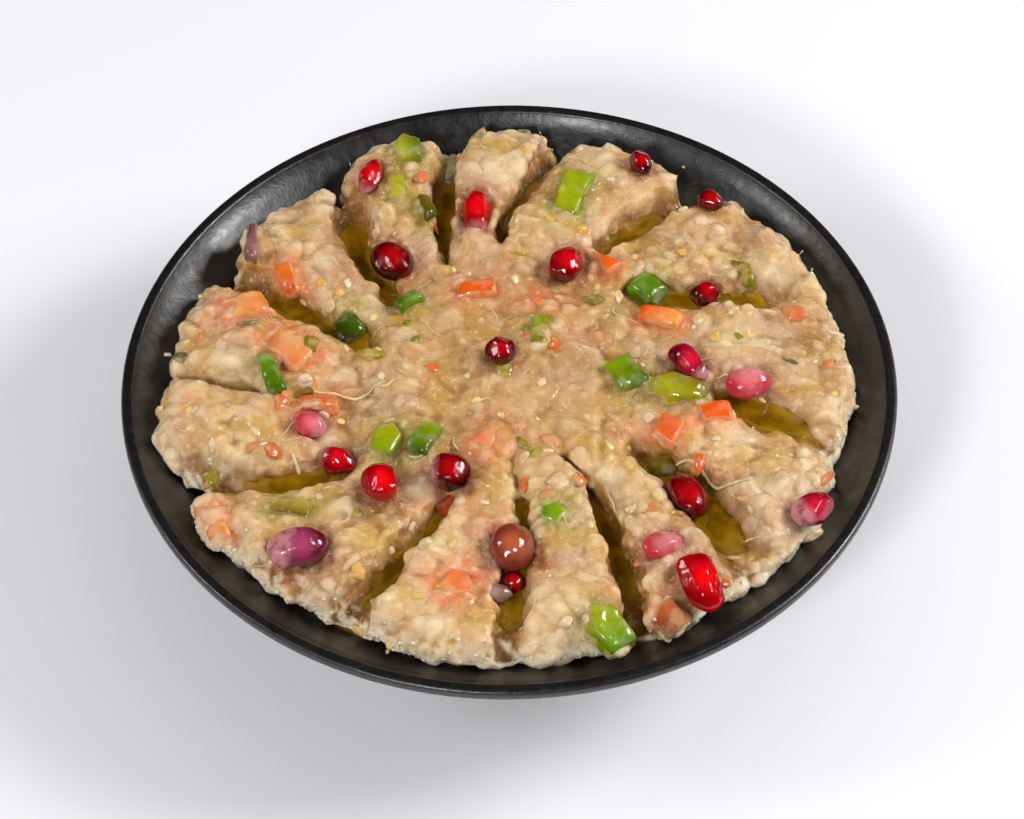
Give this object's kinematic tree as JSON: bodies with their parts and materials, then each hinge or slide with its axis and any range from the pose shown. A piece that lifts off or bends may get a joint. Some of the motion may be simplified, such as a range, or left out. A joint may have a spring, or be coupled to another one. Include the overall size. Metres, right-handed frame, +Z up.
{
  "type": "bowl of baba ganoush",
  "caption": "Aubergine dip spooned into radial lobes in a black bowl, with oil in the furrows, pomegranate seeds and diced pepper and tomato.",
  "frame": {"origin": "centre of the bowl's foot, on the surface it stands on", "axes": "+Z up out of the bowl; -Y towards the side the bowl is seen from; +X to that viewer's right"},
  "size_m": [0.17, 0.17, 0.0496],
  "materials": {
    "black_glaze": "satin",
    "aubergine_dip": "satin",
    "oil": "gloss",
    "aril": "gloss",
    "aril_pink": "gloss",
    "aril_brown": "gloss",
    "purple_onion": "gloss",
    "green_pepper": "gloss",
    "tomato": "gloss",
    "carrot": "gloss"
  },
  "bodies": {
    "root": {"bowl": "black_glaze", "dip": "aubergine_dip", "oil_pool_right": "oil", "oil_pool_back": "oil", "oil_pool_left": "oil", "aril_01": "aril", "aril_02": "aril", "aril_03": "aril", "aril_04": "aril", "aril_05": "aril", "aril_06": "aril", "aril_07": "aril", "aril_08": "aril_pink", "aril_09": "aril_pink", "aril_10": "aril", "aril_11": "aril", "aril_12": "aril", "aril_13": "aril_pink", "aril_14": "aril", "aril_15": "purple_onion", "aril_16": "aril_brown", "aril_17": "aril", "aril_18": "aril", "aril_19": "aril_pink", "aril_20": "aril", "aril_21": "aril_pink", "pepper_tip": "green_pepper", "pepper_slit": "green_pepper", "pepper_lobe": "green_pepper", "pepper_left": "green_pepper", "pepper_upper": "green_pepper", "pepper_stick": "green_pepper", "pepper_bright": "green_pepper", "pepper_cut": "green_pepper", "pepper_hub": "green_pepper", "pepper_cube": "green_pepper", "pepper_lime": "green_pepper", "pepper_back": "green_pepper", "pepper_round": "green_pepper", "pepper_front": "green_pepper", "pepper_pale": "green_pepper", "pepper_pool": "green_pepper", "pepper_olive": "green_pepper", "tomato_left": "tomato", "tomato_pink": "tomato", "tomato_stick": "tomato", "tomato_upper": "tomato", "tomato_hub": "tomato", "tomato_back": "tomato", "tomato_wedge": "tomato", "tomato_inner": "tomato", "tomato_front": "tomato", "tomato_edge": "tomato", "tomato_lobe": "tomato", "tomato_slope": "tomato", "tomato_groove": "tomato", "tomato_bottom": "tomato", "carrot_back": "carrot", "onion_oval": "purple_onion", "onion_strip": "purple_onion"}
  },
  "joints": []
}
